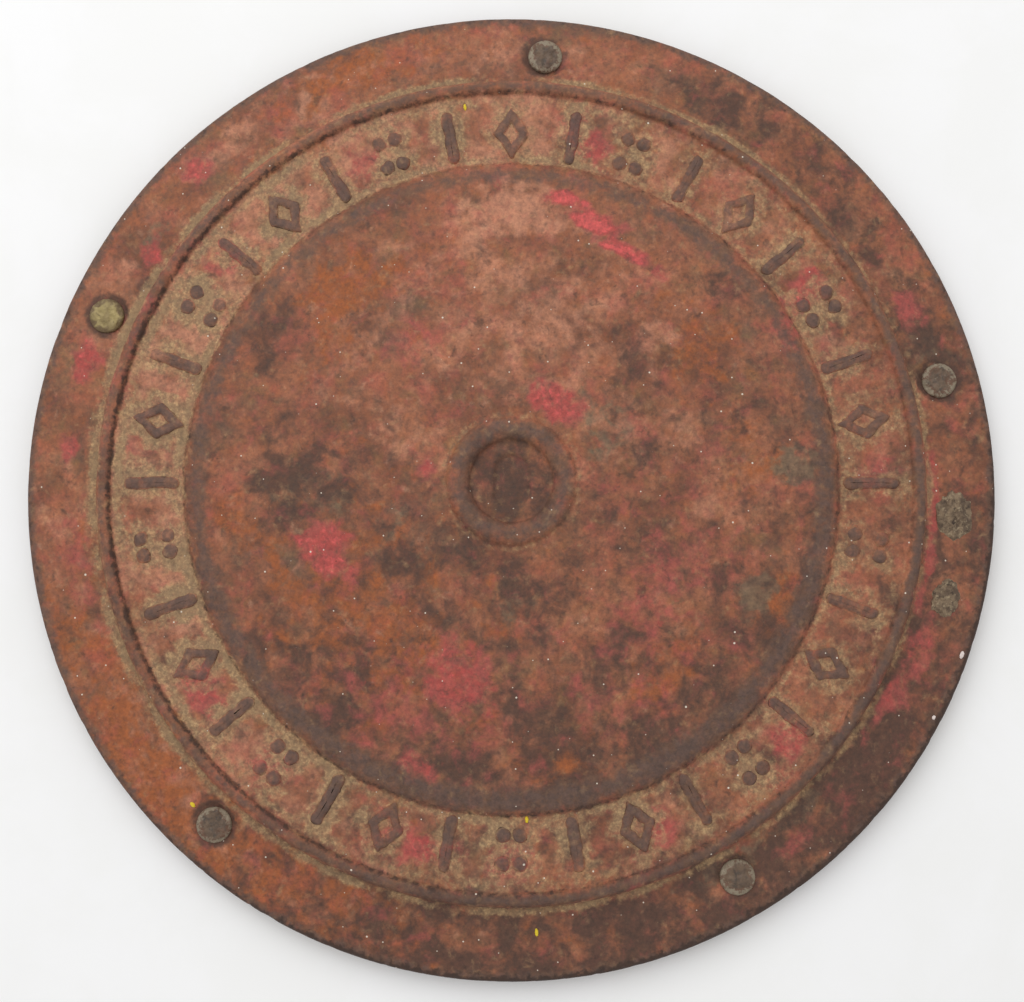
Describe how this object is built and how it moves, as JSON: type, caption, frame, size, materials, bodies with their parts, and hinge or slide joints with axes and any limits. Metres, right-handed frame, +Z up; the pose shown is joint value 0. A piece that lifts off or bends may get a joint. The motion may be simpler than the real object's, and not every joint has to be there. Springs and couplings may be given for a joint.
{
  "type": "manhole cover",
  "caption": "Round domed iron access cover with a bordered band of raised marks, a ring boss and a packing ring riveted under its rim.",
  "frame": {"origin": "centre of the plane that the cover's foot stands on", "axes": "+Z up through the boss, out of the marked side; +Y towards the first rivet, +X to the right of it seen from above"},
  "size_m": [0.3556, 0.3556, 0.0267],
  "materials": {
    "casting": "sand-cast, worn red paint over rust",
    "packing": "greased, darkened",
    "rivet_iron": "rusted and dirty",
    "rivet_brass": "tarnished"
  },
  "bodies": {
    "root": {"cover_plate": "casting", "packing_ring": "packing", "rivet_1": "rivet_iron", "rivet_2": "rivet_iron", "rivet_3": "rivet_iron", "rivet_4": "rivet_iron", "rivet_5": "rivet_brass", "burr_1": "rivet_iron", "burr_2": "rivet_iron", "burr_3": "rivet_iron", "burr_4": "rivet_iron", "burr_5": "rivet_brass"}
  },
  "joints": []
}
